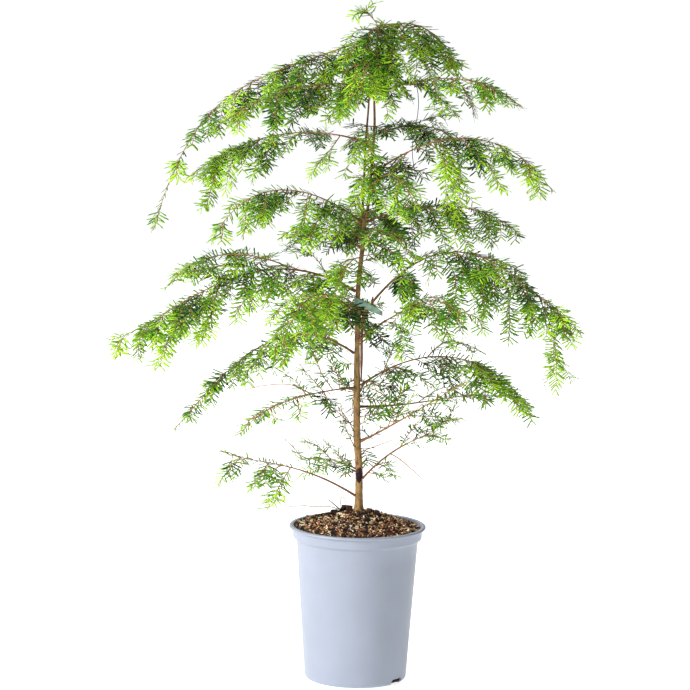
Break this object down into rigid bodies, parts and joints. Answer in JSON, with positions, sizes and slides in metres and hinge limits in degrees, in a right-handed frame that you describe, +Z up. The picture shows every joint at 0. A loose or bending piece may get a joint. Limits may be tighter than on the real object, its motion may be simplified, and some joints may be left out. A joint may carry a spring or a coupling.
{
  "type": "potted weeping hemlock tree",
  "caption": "Young weeping hemlock with two leaders and arching needled boughs, standing in a deep round plastic nursery pot of bark mix.",
  "frame": {"origin": "centre of the pot's flat underside, on the ground", "axes": "+Z up the trunk, +X to the right and -Y towards the viewer in the front view"},
  "size_m": [0.5793, 0.3344, 0.8399],
  "materials": {
    "pot": "smooth grey-blue moulded plastic with a slight sheen",
    "soil": "loose bark chips, fibres and grit, dry on top",
    "bark": "thin young bark, olive tan to red-brown, finely ridged",
    "wound": "dark purple-brown sealed wound",
    "tape": "soft grey-green tying tape",
    "thread": "thin dark thread",
    "needles": "flat needles, dark green inside and bright yellow-green at the tips"
  },
  "bodies": {
    "root": {"bough_back_2": "bark", "bough_back_3": "bark", "bough_back_4": "bark", "bough_left_10": "bark", "bough_left_11": "bark", "bough_left_3": "bark", "bough_left_4": "bark", "bough_left_6": "bark", "bough_left_8": "bark", "bough_left_9": "bark", "bough_right_10": "bark", "bough_right_11": "bark", "bough_right_12": "bark", "bough_right_4": "bark", "bough_right_6": "bark", "bough_right_7": "bark", "bough_right_8": "bark", "bough_right_9": "bark", "hanging_thread": "thread", "leader_left": "bark", "leader_right": "bark", "needles_back_1": "needles", "needles_back_2": "needles", "needles_back_3": "needles", "needles_back_4": "needles", "needles_front_1": "needles", "needles_front_2": "needles", "needles_front_3": "needles", "needles_front_4": "needles", "needles_left_1": "needles", "needles_left_10": "needles", "needles_left_11": "needles", "needles_left_12": "needles", "needles_left_2": "needles", "needles_left_3": "needles", "needles_left_4": "needles", "needles_left_5": "needles", "needles_left_6": "needles", "needles_left_7": "needles", "needles_left_8": "needles", "needles_left_9": "needles", "needles_right_1": "needles", "needles_right_10": "needles", "needles_right_11": "needles", "needles_right_12": "needles", "needles_right_2": "needles", "needles_right_3": "needles", "needles_right_4": "needles", "needles_right_5": "needles", "needles_right_6": "needles", "needles_right_7": "needles", "needles_right_8": "needles", "needles_right_9": "needles", "needles_top": "needles", "pot": "pot", "soil": "soil", "tie": "tape", "trunk": "bark", "wound_seal": "wound"}
  },
  "joints": []
}
